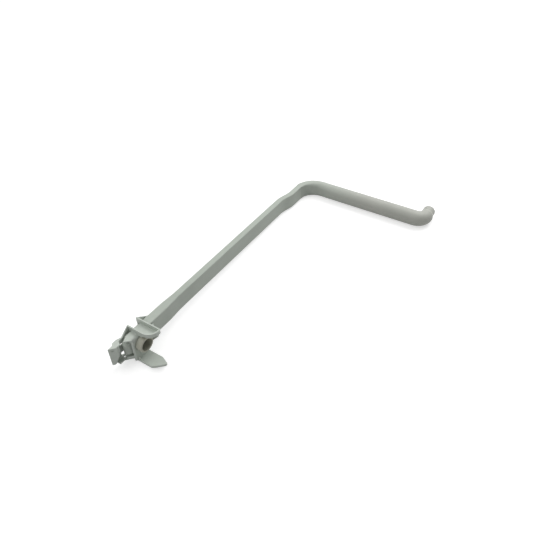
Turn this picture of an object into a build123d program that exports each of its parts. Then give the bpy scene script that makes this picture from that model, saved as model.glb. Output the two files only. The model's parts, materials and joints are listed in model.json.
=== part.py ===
from build123d import *
import os
from math import asin, atan2, cos, degrees, hypot, radians, sin, sqrt, tan

# A moulded water supply tube for a dishwasher, with the docking bracket that is snapped round its end.
# The tube is laid out flat: the axes of its two legs cross at the origin, the round short leg runs along +X,
# the flat long leg runs along -Y, and Z is the direction across the flat leg. All sizes are in millimetres.

# Round short leg, elbow and stub
leg_diameter = 21.0
wall = 1.8
stub_distance = 184.3
elbow_radius = 12.0
elbow_end_diameter = 19.4
stub_diameter = 16.5
stub_reach = 27.0
shoulder_length = 5.0
stub_chamfer = 0.7

# Flat long leg, its bend and the sideways jog just after the bend
flat_thickness = 8.5
flat_width = 21.5
flat_corner = 1.8
bore_corner = 1.7
flat_crown = 0.12
bend_radius = 26.0
round_from = 46.0
jog_offset = 5.0
jog_start = 44.0
jog_length = 32.0

# Thicker head of the tube, its spout and its narrowed nose; leads and reaches are from the spout's axis
head_thickness = 11.0
spout_distance = 361.0
head_lead = 64.0
head_taper = 18.0
spout_diameter = 18.0
spout_bore = 14.0
spout_reach = 14.8
spout_edge = 0.5
nose_shoulder = 9.6
nose_reach = 17.6
nose_thickness = 9.4
nose_width = 15.0
nose_tuck = 1.2

# Docking bracket: plate thickness, fit on the tube, and the sleeve with its slanted end
plate = 1.6
fit_gap = 0.25
sleeve_lead = 12.4
sleeve_reach = 10.8
sleeve_tail = 8.5
sleeve_back = -2.5
slant_stop = 0.9
skirt_setback = 0.6
lip_length = 7.5
lip_gap = 0.9

# Bracket: D-shaped pocket over the spout, and the lugs behind the tube
web_top = 18.0
web_pitch = 12.9
pocket_reach = 25.2
pocket_straight = 13.6
pocket_bevel = 2.0
brace_reach = 20.3
brace_height = 4.5
fin_grip = 6.5
near_fin_run = 17.0
far_fin_run = 11.0

# Bracket: guide tongue below the spout, with its upturned pointed tip
tongue_drop = 19.2
tongue_thickness = 2.8
tongue_width = 15.8
tongue_crease = 24.0
tongue_reach = 39.0
tip_begins = 26.0
tip_flat = 2.4
tip_angle = 21.0
tip_shoulder_round = 12.0
tip_end_round = 1.6
gusset_height = 4.0
gusset_run = 3.4

# Bracket: hollow latch hook past the nose, its stations up the leg counted from the spout's axis
hook_top = 10.0
hook_bottom = 15.6
hook_back = -9.2
hook_heel = -6.8
hook_front = -1.4
hook_swell = 17.0
hook_open = 19.6
hook_rib = 22.0
hook_turn = 22.1
hook_face = 25.2
hook_step = 25.6
hook_end = 31.2
hook_rib_depth = 10.0
hook_notch = 3.0
hook_point = 14.4
arm_rise = 1.9
arm_drop = 7.5
dimple_radius = 1.2
dimple_depth = 0.7
dimple_drop = 3.6

section_split = 20.0
morph_steps = 6
elbow_steps = 4

leg_radius = leg_diameter / 2
elbow_start = stub_distance - elbow_radius
bend_x = jog_offset + bend_radius
head_half = head_thickness / 2
flat_half = flat_width / 2
head_begins = spout_distance - head_lead
spout_plane = Plane(origin=(0, -spout_distance, 0), z_dir=(1, 0, 0))


def flat_points(thickness, width, corner, inset):
    """The quarter outline of a crowned, rounded rectangle: two flats and the corner between them."""
    half_x = thickness / 2 - inset
    half_y = width / 2 - inset
    radius = max(corner - inset, bore_corner)
    lean = radius * (1 - cos(radians(45)))
    return [
        (half_x, 0),
        (half_x - flat_crown, half_y - radius),
        (half_x - lean, half_y - lean),
        (half_x - radius, half_y - flat_crown),
        (0, half_y),
    ]


def round_points(diameter, inset):
    """The same quarter outline on a circle."""
    radius = diameter / 2 - inset
    angles = (0, section_split, 45, 90 - section_split, 90)
    return [(radius * cos(radians(a)), radius * sin(radians(a))) for a in angles]


def mix(first, second, share):
    return [(a + (c - a) * share, b + (d - b) * share) for (a, b), (c, d) in zip(first, second)]


def section(points, plane):
    """A closed face of eight arcs on a plane, mirrored from its quarter outline."""
    (x0, _), (x1, y1), (xm, ym), (x2, y2), (_, y3) = points
    edges = [
        ThreePointArc((x1, -y1), (x0, 0), (x1, y1)),
        ThreePointArc((x1, y1), (xm, ym), (x2, y2)),
        ThreePointArc((x2, y2), (0, y3), (-x2, y2)),
        ThreePointArc((-x2, y2), (-xm, ym), (-x1, y1)),
        ThreePointArc((-x1, y1), (-x0, 0), (-x1, -y1)),
        ThreePointArc((-x1, -y1), (-xm, -ym), (-x2, -y2)),
        ThreePointArc((-x2, -y2), (0, -y3), (x2, -y2)),
        ThreePointArc((x2, -y2), (xm, -ym), (x1, -y1)),
    ]
    return plane * Face(Wire(edges))


def station(x, y, heading):
    """The plane across the tube at a point of its axis, for a heading in degrees from +X."""
    along = (cos(radians(heading)), sin(radians(heading)), 0)
    outward = (-along[1], along[0], 0)
    return Plane(origin=(x, y, 0), x_dir=outward, z_dir=along)


def long_leg_station(distance):
    return station(0, -distance, 90)


def tube_solid(inset):
    """The tube's body shrunk by an inset: the outside with none, the water's way with the wall."""
    flat = flat_points(flat_thickness, flat_width, flat_corner, inset)
    head = flat_points(head_thickness, flat_width, flat_corner, inset)
    circle = round_points(leg_diameter, inset)
    pieces = []

    # Stub, shoulder and elbow
    stub_radius = stub_diameter / 2 - inset
    elbow_end = elbow_radius
    shoulder_end = elbow_end + shoulder_length
    open_end = stub_reach + 2 * inset
    profile = make_face(
        Polyline(
            (stub_distance, elbow_end),
            (stub_distance + elbow_end_diameter / 2 - inset, elbow_end),
            (stub_distance + stub_radius, shoulder_end),
            (stub_distance + stub_radius, open_end),
            (stub_distance, open_end),
            close=True,
        )
    )
    stub_axis = Axis((stub_distance, 0, 0), (0, 1, 0))
    stub = revolve(profile, stub_axis)
    if not inset:
        stub = chamfer(stub.faces().sort_by(Axis.Y)[-1].edges(), stub_chamfer)
    pieces.append(stub)
    elbow_sections = []
    for step in range(elbow_steps + 1):
        share = step / elbow_steps
        turned = radians(90) * share
        radius = leg_radius + (elbow_end_diameter / 2 - leg_radius) * share
        x = elbow_start + elbow_radius * sin(turned)
        y = elbow_radius - elbow_radius * cos(turned)
        elbow_sections.append(station(x, y, degrees(turned)) * Circle(radius - inset))
    pieces.append(loft(elbow_sections))
    leg_begins = jog_offset + round_from
    leg_face = Plane(origin=(leg_begins, 0, 0), z_dir=(1, 0, 0)) * Circle(leg_radius - inset)
    pieces.append(extrude(leg_face, elbow_start - leg_begins))

    # Bend, where the flat section grows round
    bend_sections = [section(flat, station(jog_offset, -bend_radius, 90))]
    run_length = bend_radius * radians(90) + round_from - bend_radius
    for step in range(1, morph_steps + 1):
        share = step / morph_steps
        travelled = run_length * share
        turned = travelled / bend_radius
        outline = mix(flat, circle, share)
        if turned < radians(90):
            x = bend_x - bend_radius * cos(turned)
            y = -bend_radius + bend_radius * sin(turned)
            place = station(x, y, 90 - degrees(turned))
        else:
            place = station(bend_x + travelled - bend_radius * radians(90), 0, 0)
        bend_sections.append(section(outline, place))
    pieces.append(loft(bend_sections, ruled=bool(inset)))

    # Straight, jog and flat leg
    pieces.append(extrude(section(flat, station(jog_offset, -jog_start, 90)), jog_start - bend_radius))
    jog_end = jog_start + jog_length
    jog_radius = (jog_length**2 + jog_offset**2) / (4 * jog_offset)
    jog_turn = degrees(asin(jog_length / (2 * jog_radius)))
    near_axis = Axis((jog_offset - jog_radius, -jog_start, 0), (0, 0, 1))
    far_axis = Axis((jog_radius, -jog_end, 0), (0, 0, 1))
    pieces.append(revolve(section(flat, station(jog_offset, -jog_start, 90)), near_axis, -jog_turn))
    pieces.append(revolve(section(flat, station(0, -jog_end, 90)), far_axis, -jog_turn))
    head_full = head_begins + head_taper
    taper_foot = section(flat, long_leg_station(head_begins))
    pieces.append(extrude(taper_foot, head_begins - jog_end))
    pieces.append(loft([taper_foot, section(head, long_leg_station(head_full))]))

    # Head and narrowed nose with its round end; the water's way stops flat where the round begins
    nose = flat_points(nose_thickness, nose_width, flat_corner, inset)
    nose_half = nose_thickness / 2
    nose_begins = spout_distance + nose_reach - nose_half
    head_ends = spout_distance + nose_shoulder
    head_end = section(head, long_leg_station(head_ends))
    pieces.append(extrude(head_end, head_ends - head_full))
    pieces.append(loft([head_end, section(nose, long_leg_station(nose_begins))]))
    if not inset:
        nose_round = extrude(Pos(0, -nose_begins) * Circle(nose_half), nose_width / 2, both=True)
        pieces.append(chamfer(nose_round.edges().filter_by(GeomType.CIRCLE), nose_tuck))
    return pieces


def supply_tube():
    """One hollow moulding: round leg, flat leg, closed nose and spout."""
    outer = tube_solid(0)
    inner = tube_solid(wall)
    spout = extrude(spout_plane * Circle(spout_diameter / 2), spout_reach)
    spout = chamfer(spout.faces().sort_by(Axis.X)[-1].edges(), spout_edge)
    bore = extrude(spout_plane * Circle(spout_bore / 2), spout_reach)
    solid = outer[0].fuse(*outer[1:], spout)
    return solid - inner[0].fuse(*inner[1:], bore)


def past(reach):
    """The place along Y at a distance up the leg, past the spout's axis."""
    return -spout_distance - reach


def slab(points, lowest, highest):
    """A flat plate with a polygon outline in plan, between two heights."""
    return Pos(0, 0, lowest) * extrude(make_face(Polyline(*points, close=True)), highest - lowest)


def across(distance):
    """The plane across the long leg: local X is forward, local Y is sideways, and it faces the nose."""
    return Plane(origin=(0, -distance, 0), x_dir=(1, 0, 0), z_dir=(0, -1, 0))


def cross_web(points, distance):
    """A plate across the long leg, its outline given as (forward, sideways) points."""
    return extrude(across(distance - plate / 2) * make_face(Polyline(*points, close=True)), plate)


def back_fin(points):
    """A plate behind the tube, its outline given as (distance up the leg, sideways) points."""
    plane = Plane(origin=(back, 0, 0), x_dir=(0, -1, 0), z_dir=(1, 0, 0))
    return extrude(plane * make_face(Polyline(*[(u, -z) for u, z in points], close=True)), plate)


inner_x = head_half + fit_gap
inner_z = flat_half + fit_gap
inner_corner = flat_corner + fit_gap
front = inner_x + plate
back = -front
roof = inner_z + plate
sleeve_begins = spout_distance - sleeve_lead
sleeve_front_end = spout_distance + sleeve_reach
near_web = sleeve_begins + plate / 2
far_web = near_web + web_pitch
far_fin_end = far_web + far_fin_run
grip_z = flat_half - fin_grip
tongue_low = tongue_drop + tongue_thickness
slant_end = sleeve_front_end + front - slant_stop
rim_run = pocket_reach - plate / 2 - pocket_straight
rim_radius = (rim_run**2 + web_pitch**2) / (2 * web_pitch)


def channel(half_depth, reach, corner):
    """A rectangle that opens towards the back, with its two front corners rounded."""
    outline = make_face(
        Polyline(
            (sleeve_back, -half_depth),
            (reach, -half_depth),
            (reach, half_depth),
            (sleeve_back, half_depth),
            close=True,
        )
    )
    return fillet(outline.vertices().group_by(Axis.X)[-1], corner)


def sleeve():
    """Three walls round the tube, cut off on a slant so that the nose shows, with a skirt below."""
    profile = channel(roof, front, inner_corner + plate) - channel(inner_z, inner_x, inner_corner)
    walls = extrude(across(sleeve_begins) * profile, slant_end - sleeve_begins)
    plan = [
        (sleeve_back, -sleeve_begins),
        (front, -sleeve_begins),
        (front, -sleeve_front_end),
        (slant_stop, -slant_end),
        (sleeve_back, -slant_end),
    ]
    roof_cut = [(slant_stop, -slant_end), (sleeve_back, past(sleeve_tail)), (sleeve_back, -slant_end)]
    lip_plan = [
        (inner_x + lip_gap, -sleeve_begins),
        (front + lip_gap, -sleeve_begins),
        (inner_x + lip_gap + plate / 2, lip_length - sleeve_begins),
        (inner_x + lip_gap, lip_length - sleeve_begins),
    ]
    lip = slab(lip_plan, flat_corner - flat_half, flat_half - flat_corner)
    skirt_plan = [
        (front, skirt_setback - sleeve_front_end),
        (slant_stop, skirt_setback - slant_end),
        (slant_stop, skirt_setback + plate - slant_end),
        (front, skirt_setback + plate - sleeve_front_end),
    ]
    skirt = slab(skirt_plan, -hook_bottom, -inner_z)
    return (walls & slab(plan, -roof, roof)) - slab(roof_cut, 0, roof) + lip + skirt


def pocket_plan(grow):
    """The pocket's outline from above, grown all round: straight beside the tube and bowed past the spout."""
    bow = rim_radius + grow
    reach = pocket_straight + sqrt(bow**2 - (web_pitch - rim_radius) ** 2)
    sides = Polyline(
        (reach, -near_web),
        (sleeve_back, -near_web),
        (sleeve_back, -far_web - grow),
        (pocket_straight, -far_web - grow),
    )
    return make_face(sides + TangentArc(sides @ 1, sides @ 0, tangent=(1, 0)))


def pocket():
    """Two webs and the curved wall between them, round a floor that reaches out over the spout."""
    near = [
        (back, grip_z),
        (back, web_top),
        (pocket_reach, web_top),
        (brace_reach, brace_height),
        (front, -inner_z),
        (inner_x, -inner_z),
        (inner_x, inner_z),
        (-inner_x, inner_z),
        (-inner_x, grip_z),
    ]
    far = [
        (back, grip_z),
        (back, web_top),
        (pocket_straight, web_top),
        (pocket_straight, inner_z + pocket_bevel),
        (pocket_straight - pocket_bevel, inner_z),
        (-inner_x, inner_z),
        (-inner_x, grip_z),
    ]
    tray = Pos(0, 0, inner_z) * extrude(pocket_plan(plate / 2), web_top - inner_z)
    under_edges = tray.faces().sort_by(Axis.Z)[0].edges().filter_by(GeomType.CIRCLE)
    tray = chamfer(under_edges, pocket_bevel)
    tray -= Pos(0, 0, roof) * extrude(pocket_plan(-plate / 2), web_top - roof)
    return cross_web(near, near_web) + cross_web(far, far_web) + tray


def fins():
    """Four sloped lugs that snap behind the tube's back face, two on each side."""
    near_end = near_web - near_fin_run
    shapes = []
    for side, tip in ((1, hook_top), (-1, hook_bottom)):
        near = [(near_web, grip_z), (near_web, web_top), (near_end, grip_z + plate), (near_end, grip_z)]
        far = [(far_web, grip_z), (far_web, web_top), (far_fin_end, tip), (far_fin_end, grip_z)]
        shapes.append(back_fin([(u, side * z) for u, z in near]))
        shapes.append(back_fin([(u, side * z) for u, z in far]))
    return shapes


def guide_tongue():
    """The guide below the spout: a plate with a pointed, upturned tip, carried by an apron and two webs."""
    near_edge = far_web - tongue_width / 2
    far_edge = far_web + tongue_width / 2
    rise = (tongue_reach - tongue_crease) * tan(radians(tip_angle))
    side = make_face(
        Polyline(
            (back, -tongue_low),
            (tongue_crease, -tongue_low),
            (tongue_reach, rise - tongue_low),
            (tongue_reach, rise - tongue_drop),
            (tongue_crease, -tongue_drop),
            (back, -tongue_drop),
            close=True,
        )
    )
    plan = make_face(
        Polyline(
            (back, -near_edge),
            (tip_begins, -near_edge),
            (tongue_reach, tip_flat / 2 - far_web),
            (tongue_reach, -tip_flat / 2 - far_web),
            (tip_begins, -far_edge),
            (back, -far_edge),
            close=True,
        )
    )
    columns = plan.vertices().group_by(Axis.X)
    plan = fillet(columns[-2], tip_shoulder_round)
    plan = fillet(plan.vertices().group_by(Axis.X)[-1], tip_end_round)
    tongue = extrude(across(near_edge) * side, tongue_width)
    tongue &= Pos(0, 0, -tongue_low) * extrude(plan, tongue_low + rise)
    apron_plan = [
        (inner_x, -near_edge),
        (front, -near_edge),
        (front, -sleeve_front_end),
        (inner_x, -sleeve_front_end - plate),
    ]
    apron = slab(apron_plan, -tongue_drop, inner_corner + plate - roof)
    near = [
        (back, -grip_z),
        (back, -web_top),
        (inner_x - plate, -web_top),
        (front, -roof),
        (front, -inner_z),
        (-inner_x, -inner_z),
        (-inner_x, -grip_z),
    ]
    far = [
        (back, -grip_z),
        (back, -tongue_drop),
        (front, -tongue_drop),
        (front, -inner_z),
        (-inner_x, -inner_z),
        (-inner_x, -grip_z),
    ]
    gusset = [
        (inner_x, gusset_height - tongue_drop),
        (front, gusset_height - tongue_drop),
        (front + gusset_run, -tongue_drop),
        (inner_x, -tongue_drop),
    ]
    gusset_middle = far_edge - plate / 2
    webs = cross_web(near, near_web) + cross_web(far, far_web) + cross_web(gusset, gusset_middle)
    return tongue + apron + webs


def hook():
    """The latch past the nose: a hollow box with a slanted face, open on the side towards the nose."""
    outside = [
        (back, -far_fin_end),
        (hook_back, past(hook_swell)),
        (hook_back, past(hook_turn)),
        (hook_heel, past(hook_step)),
    ]
    inside = [
        (hook_front, past(hook_open)),
        (-inner_x, past(hook_swell)),
        (-inner_x, -far_fin_end),
    ]
    face_depth = plate * hypot(1, 1)
    top = outside + [(hook_heel, past(hook_end)), (hook_front, past(hook_face))] + inside
    tab = [(slant_stop, -slant_end), (slant_stop, plate - slant_end)]
    foot = outside + [(hook_front, past(hook_step))] + inside[:1] + tab + inside[1:]
    shell = [
        (hook_back, past(hook_swell)),
        (hook_back, past(hook_turn)),
        (hook_heel, past(hook_step)),
        (hook_heel, past(hook_end)),
        (hook_heel + plate, face_depth + past(hook_end)),
        (hook_heel + plate, plate / 2 + past(hook_step)),
        (hook_back + plate, plate / 2 + past(hook_turn)),
        (hook_back + plate, past(hook_swell)),
    ]
    face = [
        (hook_heel, past(hook_end)),
        (hook_front, past(hook_face)),
        (hook_front, face_depth + past(hook_face)),
        (hook_heel, face_depth + past(hook_end)),
    ]
    rib = [
        (hook_back, past(hook_rib) - plate / 2),
        (hook_front, past(hook_rib) - plate / 2),
        (hook_front, plate / 2 + past(hook_rib)),
        (hook_back, plate / 2 + past(hook_rib)),
    ]
    notch = make_face(
        Polyline(
            (hook_front, -hook_notch),
            (hook_front, -hook_bottom),
            (hook_heel + plate, -hook_bottom),
            close=True,
        )
    )
    face_middle = ((hook_heel + hook_front) / 2, past((hook_end + hook_face) / 2), hook_top - dimple_drop)
    face_normal = (hook_end - hook_face, hook_heel - hook_front, 0)
    dimple = extrude(Plane(origin=face_middle, z_dir=face_normal) * Circle(dimple_radius), -dimple_depth)
    notch_cut = extrude(across(spout_distance + hook_turn) * notch, hook_end - hook_turn)
    face_plate = slab(face, -hook_point, hook_top) - notch_cut
    arm_end = spout_distance + hook_swell + plate
    upper_arm = [(far_fin_end, grip_z), (far_fin_end, hook_top), (arm_end, hook_top), (arm_end, grip_z)]
    lower_arm = [(far_fin_end, -arm_drop), (far_fin_end, arm_rise), (arm_end, arm_rise), (arm_end, -arm_drop)]
    return (
        slab(top, hook_top - plate, hook_top)
        + slab(foot, -hook_bottom, plate - hook_bottom)
        + slab(shell, -hook_point, hook_top)
        + slab(rib, hook_top - hook_rib_depth, hook_top)
        + (face_plate - dimple)
        + back_fin(upper_arm)
        + back_fin(lower_arm)
    )


def docking_bracket():
    """One injection moulding, snapped on to the end of the tube from the front."""
    solid = sleeve() + pocket() + guide_tongue() + hook()
    for fin in fins():
        solid = solid + fin
    return solid - extrude(spout_plane * Circle(spout_diameter / 2 + fit_gap), front)


def laid_down():
    """The small turn and shift that lay the part on a floor, on the round leg and the tongue's underside."""
    reach = far_web - tongue_width / 2
    lean = atan2(tongue_low, reach) - asin(leg_radius / hypot(tongue_low, reach))
    return Pos(0, 0, leg_radius) * Rot(-degrees(lean), 0, 0)


os.makedirs("parts", exist_ok=True)
nodes = {"supply_tube": supply_tube(), "docking_bracket": docking_bracket()}
laid = {name: laid_down() * solid for name, solid in nodes.items()}
box = Compound(list(laid.values())).bounding_box()
centre = Pos(-box.center().X, -box.center().Y, -box.min.Z)
for name, solid in laid.items():
    placed = centre * solid
    export_step(placed, f"parts/{name}.step")
    print(name, placed.is_valid, len(placed.solids()), round(placed.volume), placed.bounding_box().size)
print("origin moved to", centre.position, "lean", laid_down().orientation)
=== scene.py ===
import bmesh
import bpy
import json
from math import degrees, radians
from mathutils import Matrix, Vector


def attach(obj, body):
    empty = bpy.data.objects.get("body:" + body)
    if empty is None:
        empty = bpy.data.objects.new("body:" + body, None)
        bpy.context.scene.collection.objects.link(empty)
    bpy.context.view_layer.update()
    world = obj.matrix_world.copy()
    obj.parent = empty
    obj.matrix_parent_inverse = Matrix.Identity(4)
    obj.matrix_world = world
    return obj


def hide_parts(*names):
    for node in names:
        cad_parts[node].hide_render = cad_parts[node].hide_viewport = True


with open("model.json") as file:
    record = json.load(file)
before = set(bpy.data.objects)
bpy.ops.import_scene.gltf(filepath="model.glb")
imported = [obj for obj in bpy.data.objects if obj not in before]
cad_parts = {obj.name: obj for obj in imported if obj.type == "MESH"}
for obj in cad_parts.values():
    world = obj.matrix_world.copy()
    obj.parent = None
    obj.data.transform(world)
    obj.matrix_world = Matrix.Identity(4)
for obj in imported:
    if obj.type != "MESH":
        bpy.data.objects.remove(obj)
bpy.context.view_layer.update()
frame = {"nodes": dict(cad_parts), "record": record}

# Supply tube: the long hollow water pipe, flat along one leg and round along the other.
# It is one moulding of grey polypropylene with a satin skin from the mould, a little darker than
# the bracket. It lies on the floor on its round leg, and its spout looks out of the bracket.
tube = frame["nodes"]["supply_tube"]

# The skin of a moulded part: a slow drift of tone, and the fine grain of the mould's surface
moulded_skin = bpy.data.node_groups.new("moulded_skin", "ShaderNodeTree")
for name, kind in (
    ("Tone", "NodeSocketColor"),
    ("Clouded Tone", "NodeSocketColor"),
    ("Cloud Size", "NodeSocketFloat"),
    ("Grain Size", "NodeSocketFloat"),
    ("Sheen Low", "NodeSocketFloat"),
    ("Sheen High", "NodeSocketFloat"),
):
    moulded_skin.interface.new_socket(name, in_out="INPUT", socket_type=kind)
for name, kind in (
    ("Colour", "NodeSocketColor"),
    ("Roughness", "NodeSocketFloat"),
    ("Height", "NodeSocketFloat"),
):
    moulded_skin.interface.new_socket(name, in_out="OUTPUT", socket_type=kind)
skin_in = moulded_skin.nodes.new("NodeGroupInput")
skin_out = moulded_skin.nodes.new("NodeGroupOutput")
skin_place = moulded_skin.nodes.new("ShaderNodeTexCoord")
clouds = moulded_skin.nodes.new("ShaderNodeTexNoise")
clouds.inputs["Detail"].default_value = 4.0
clouds.inputs["Roughness"].default_value = 0.6
cloud_mask = moulded_skin.nodes.new("ShaderNodeMapRange")
cloud_mask.inputs["From Min"].default_value = 0.35
cloud_mask.inputs["From Max"].default_value = 0.68
skin_tone = moulded_skin.nodes.new("ShaderNodeMix")
skin_tone.data_type = "RGBA"
grain = moulded_skin.nodes.new("ShaderNodeTexNoise")
grain.inputs["Detail"].default_value = 3.0
grain.inputs["Roughness"].default_value = 0.55
sheen = moulded_skin.nodes.new("ShaderNodeMapRange")
sheen.inputs["From Min"].default_value = 0.3
sheen.inputs["From Max"].default_value = 0.7
link = moulded_skin.links.new
link(skin_place.outputs["Object"], clouds.inputs["Vector"])
link(skin_place.outputs["Object"], grain.inputs["Vector"])
link(skin_in.outputs["Cloud Size"], clouds.inputs["Scale"])
link(skin_in.outputs["Grain Size"], grain.inputs["Scale"])
link(clouds.outputs["Fac"], cloud_mask.inputs["Value"])
link(cloud_mask.outputs["Result"], skin_tone.inputs["Factor"])
link(skin_in.outputs["Tone"], skin_tone.inputs["A"])
link(skin_in.outputs["Clouded Tone"], skin_tone.inputs["B"])
link(grain.outputs["Fac"], sheen.inputs["Value"])
link(skin_in.outputs["Sheen Low"], sheen.inputs["To Min"])
link(skin_in.outputs["Sheen High"], sheen.inputs["To Max"])
link(skin_tone.outputs["Result"], skin_out.inputs["Colour"])
link(sheen.outputs["Result"], skin_out.inputs["Roughness"])
link(grain.outputs["Fac"], skin_out.inputs["Height"])


def satin_plastic(name, skin_values, grain_strength, grain_depth):
    """Makes a plastic with the mould's skin on it, and returns the material."""
    plastic = bpy.data.materials.new(name)
    plastic.use_nodes = True
    nodes = plastic.node_tree.nodes
    link = plastic.node_tree.links.new
    shader = nodes["Principled BSDF"]
    shader.inputs["IOR"].default_value = 1.49
    skin = nodes.new("ShaderNodeGroup")
    skin.name = "skin"
    skin.node_tree = moulded_skin
    for socket, value in skin_values.items():
        skin.inputs[socket].default_value = value
    grain_bump = nodes.new("ShaderNodeBump")
    grain_bump.inputs["Strength"].default_value = grain_strength
    grain_bump.inputs["Distance"].default_value = grain_depth
    link(skin.outputs["Colour"], shader.inputs["Base Color"])
    link(skin.outputs["Roughness"], shader.inputs["Roughness"])
    link(skin.outputs["Height"], grain_bump.inputs["Height"])
    link(grain_bump.outputs["Normal"], shader.inputs["Normal"])
    return plastic


tube_plastic = satin_plastic(
    "tube_plastic",
    {
        "Tone": (0.410, 0.449, 0.399, 1),
        "Clouded Tone": (0.384, 0.421, 0.373, 1),
        "Cloud Size": 38.0,
        "Grain Size": 1900.0,
        "Sheen Low": 0.46,
        "Sheen High": 0.60,
    },
    grain_strength=0.10,
    grain_depth=0.0003,
)
nodes = tube_plastic.node_tree.nodes
link = tube_plastic.node_tree.links.new
place = nodes.new("ShaderNodeTexCoord")

# The flat leg is a little greener, and the round leg, further along X, a little warmer
bend_x = -0.085
round_leg_x = 0.010
along_round_leg = nodes.new("ShaderNodeSeparateXYZ")
round_leg_mask = nodes.new("ShaderNodeMapRange")
round_leg_mask.inputs["From Min"].default_value = bend_x
round_leg_mask.inputs["From Max"].default_value = round_leg_x
leg_tone = nodes.new("ShaderNodeMix")
leg_tone.data_type = "RGBA"
leg_tone.blend_type = "MULTIPLY"
leg_tone.inputs["B"].default_value = (1.0, 0.932, 0.948, 1)
link(place.outputs["Object"], along_round_leg.inputs["Vector"])
link(along_round_leg.outputs["X"], round_leg_mask.inputs["Value"])
link(round_leg_mask.outputs["Result"], leg_tone.inputs["Factor"])
link(nodes["skin"].outputs["Colour"], leg_tone.inputs["A"])

# The spout is a shade yellower than the rest, from its mouth back to the head
spout = next(mount for mount in frame["record"]["mounts"] if mount["name"] == "spout")
behind_mouth = 0.0014
yellow_middle = Vector(spout["pos_m"]) - Vector(spout["axis"]) * behind_mouth
yellow_within = 0.009
yellow_ends = 0.013
spout_distance = nodes.new("ShaderNodeVectorMath")
spout_distance.operation = "DISTANCE"
spout_distance.inputs[1].default_value = yellow_middle
spout_mask = nodes.new("ShaderNodeMapRange")
spout_mask.inputs["From Min"].default_value = yellow_ends
spout_mask.inputs["From Max"].default_value = yellow_within
yellowed = nodes.new("ShaderNodeMix")
yellowed.data_type = "RGBA"
yellowed.inputs["B"].default_value = (0.440, 0.440, 0.360, 1)
link(place.outputs["Object"], spout_distance.inputs[0])
link(spout_distance.outputs["Value"], spout_mask.inputs["Value"])
link(spout_mask.outputs["Result"], yellowed.inputs["Factor"])
link(leg_tone.outputs["Result"], yellowed.inputs["A"])
link(yellowed.outputs["Result"], nodes["Principled BSDF"].inputs["Base Color"])
for slot in tube.material_slots:
    slot.material = tube_plastic

# Docking bracket: the clip-on fitting round the tube's end, with its sleeve, pocket, tongue and hook.
# It is one moulding of grey plastic, paler and smoother than the tube, with thin plate walls whose
# edges the mould rounds. Its lugs snap behind the flat leg.
bracket = frame["nodes"]["docking_bracket"]
edge_round = 0.00027
room_for_round = 2.1 * edge_round
same_point = 0.00002
# Turns in degrees: between facets of one face, along an edge that runs on, and at edges that are
# rounded or shown sharp
facet_turn = 2
runs_on_turn = 40
moulded_turn = 62
sharp_turn = 38
moulding = bmesh.new()
moulding.from_mesh(bracket.data)
# The solid's facets become whole faces first, so that an edge runs from corner to corner
bmesh.ops.remove_doubles(moulding, verts=moulding.verts, dist=same_point)
bmesh.ops.dissolve_limit(
    moulding, angle_limit=radians(facet_turn), verts=moulding.verts, edges=moulding.edges
)
bmesh.ops.dissolve_verts(moulding, verts=[v for v in moulding.verts if len(v.link_edges) == 2])


def turn_between(edge, other):
    """Angle in degrees between two edges' directions, 0 for edges that run on in one line."""
    one, two = (e.verts[1].co - e.verts[0].co for e in (edge, other))
    turn = degrees(one.angle(two))
    return min(turn, 180 - turn)


def has_room(edge):
    """True where no side next to the edge is so short that the rounding would use it up."""
    for corner in edge.verts:
        if edge.calc_length() < room_for_round and not any(
            e is not edge and turn_between(edge, e) < runs_on_turn for e in corner.link_edges
        ):
            return False
        for face in edge.link_faces:
            beside = next(e for e in face.edges if e is not edge and corner in e.verts)
            if turn_between(edge, beside) > runs_on_turn and beside.calc_length() < room_for_round:
                return False
    return True


moulded_edges = [
    e
    for e in moulding.edges
    if e.is_convex and degrees(e.calc_face_angle(0)) > moulded_turn and has_room(e)
]
bmesh.ops.bevel(
    moulding,
    geom=moulded_edges,
    offset=edge_round,
    offset_type="OFFSET",
    segments=2,
    profile=0.5,
    affect="EDGES",
    clamp_overlap=False,
)
# Points that the rounding brought together become one, and slivers between them go
bmesh.ops.remove_doubles(moulding, verts=moulding.verts, dist=same_point)
bmesh.ops.dissolve_degenerate(moulding, edges=moulding.edges, dist=same_point)
bracket_mesh = bpy.data.meshes.new("moulded_bracket")
moulding.to_mesh(bracket_mesh)
moulding.free()
bracket_mesh.shade_smooth()
bracket_mesh.set_sharp_from_angle(angle=radians(sharp_turn))
moulded_bracket = bpy.data.objects.new("moulded_bracket", bracket_mesh)
bpy.context.scene.collection.objects.link(moulded_bracket)
# Flat faces keep their own normal, and only the rounded edges turn
even_faces = moulded_bracket.modifiers.new("even_faces", "WEIGHTED_NORMAL")
even_faces.keep_sharp = True
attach(moulded_bracket, "root")
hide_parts("docking_bracket")
bracket_plastic = satin_plastic(
    "bracket_plastic",
    {
        "Tone": (0.518, 0.560, 0.508, 1),
        "Clouded Tone": (0.489, 0.530, 0.480, 1),
        "Cloud Size": 90.0,
        "Grain Size": 2600.0,
        "Sheen Low": 0.40,
        "Sheen High": 0.52,
    },
    grain_strength=0.08,
    grain_depth=0.0002,
)
bracket_mesh.materials.append(bracket_plastic)

# Floor: a plain pale studio sweep that the part lies on, far larger than the view.
# It is matt paper, shows white to the camera, the more so further out, and keeps a soft shadow.
floor_half = 6.0
floor_drop = 0.0002
floor_corners = [(x * floor_half, y * floor_half, 0) for x, y in ((-1, -1), (1, -1), (1, 1), (-1, 1))]
floor_mesh = bpy.data.meshes.new("floor")
floor_mesh.from_pydata(floor_corners, [], [(0, 1, 2, 3)])
floor = bpy.data.objects.new("floor", floor_mesh)
floor.location.z = -floor_drop
bpy.context.scene.collection.objects.link(floor)


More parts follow.
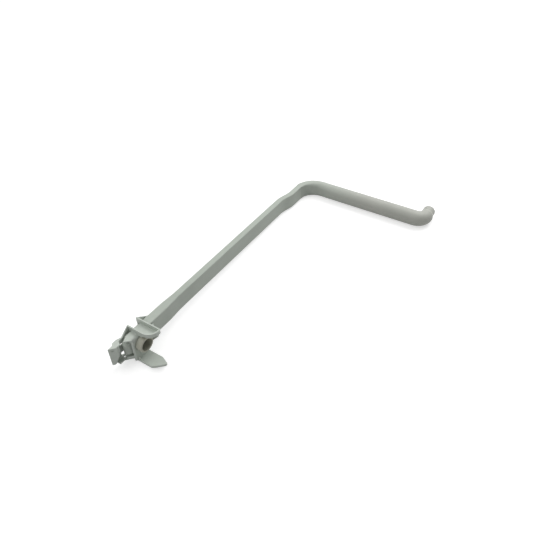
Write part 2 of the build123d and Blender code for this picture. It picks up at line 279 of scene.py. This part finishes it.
def looked_at(tree):
    """Gives 1 where a ray comes from the camera, a reflection or through glass, and 0 for light."""
    ray = tree.nodes.new("ShaderNodeLightPath")
    value = ray.outputs["Is Camera Ray"]
    for kind in ("Is Glossy Ray", "Is Transmission Ray"):
        either = tree.nodes.new("ShaderNodeMath")
        either.operation = "MAXIMUM"
        tree.links.new(value, either.inputs[0])
        tree.links.new(ray.outputs[kind], either.inputs[1])
        value = either.outputs["Value"]
    return value


floor_paper = bpy.data.materials.new("floor_paper")
floor_paper.use_nodes = True
nodes = floor_paper.node_tree.nodes
link = floor_paper.node_tree.links.new
shader = nodes["Principled BSDF"]
shader.inputs["Base Color"].default_value = (0.62, 0.62, 0.62, 1)
shader.inputs["Roughness"].default_value = 1.0
shader.inputs["Specular IOR Level"].default_value = 0.0
shader.inputs["Emission Color"].default_value = (1, 1, 1, 1)
# The shadow stays near the part, and further out the paper turns as white as the room
shadow_reach = 0.5
white_from = 2.5
floor_place = nodes.new("ShaderNodeTexCoord")
floor_reach = nodes.new("ShaderNodeVectorMath")
floor_reach.operation = "LENGTH"
whitening = nodes.new("ShaderNodeMapRange")
whitening.inputs["From Min"].default_value = shadow_reach
whitening.inputs["From Max"].default_value = white_from
whitening.inputs["To Min"].default_value = 0.58
whitening.inputs["To Max"].default_value = 1.0
lift = nodes.new("ShaderNodeMath")
lift.operation = "MULTIPLY"
link(floor_place.outputs["Object"], floor_reach.inputs[0])
link(floor_reach.outputs["Value"], whitening.inputs["Value"])
link(looked_at(floor_paper.node_tree), lift.inputs[0])
link(whitening.outputs["Result"], lift.inputs[1])
link(lift.outputs["Value"], shader.inputs["Emission Strength"])
floor_mesh.materials.append(floor_paper)

# Studio light: a white room and three broad soft lamps, as round a product table. The strongest
# stands above the back of the part, one on the left, and one fills in from the front.
world = bpy.data.worlds.new("studio")
bpy.context.scene.world = world
world.use_nodes = True
nodes = world.node_tree.nodes
link = world.node_tree.links.new
room = nodes["Background"]
room.inputs["Color"].default_value = (1, 1, 1, 1)
brightness = nodes.new("ShaderNodeMapRange")
brightness.inputs["To Min"].default_value = 0.27
brightness.inputs["To Max"].default_value = 1.0
link(looked_at(world.node_tree), brightness.inputs["Value"])
link(brightness.outputs["Result"], room.inputs["Strength"])
for name, place, size, energy in (
    ("back_lamp", (0.1, 0.75, 0.95), 1.2, 11.2),
    ("left_lamp", (-1.05, 0.05, 0.62), 1.0, 2.3),
    ("front_lamp", (-0.35, -0.6, 0.98), 0.9, 3.6),
):
    lamp_data = bpy.data.lights.new(name, "AREA")
    lamp_data.shape = "DISK"
    lamp_data.size = size
    lamp_data.energy = energy
    lamp = bpy.data.objects.new(name, lamp_data)
    lamp.location = place
    lamp.rotation_euler = (-lamp.location).to_track_quat("-Z", "Y").to_euler()
    bpy.context.scene.collection.objects.link(lamp)

# Camera: above the spout's side of the bracket, looking along the flat leg towards the bend.
camera_data = bpy.data.cameras.new("camera")
camera_data.sensor_width = 36.0
camera_data.lens = 32.0
camera = bpy.data.objects.new("camera", camera_data)
camera.location = (0.196256, -0.371435, 0.408568)
camera.rotation_euler = (radians(47.2585), radians(0.9746), radians(31.6365))
bpy.context.scene.collection.objects.link(camera)
bpy.context.scene.camera = camera
bpy.context.scene.view_settings.view_transform = "Standard"
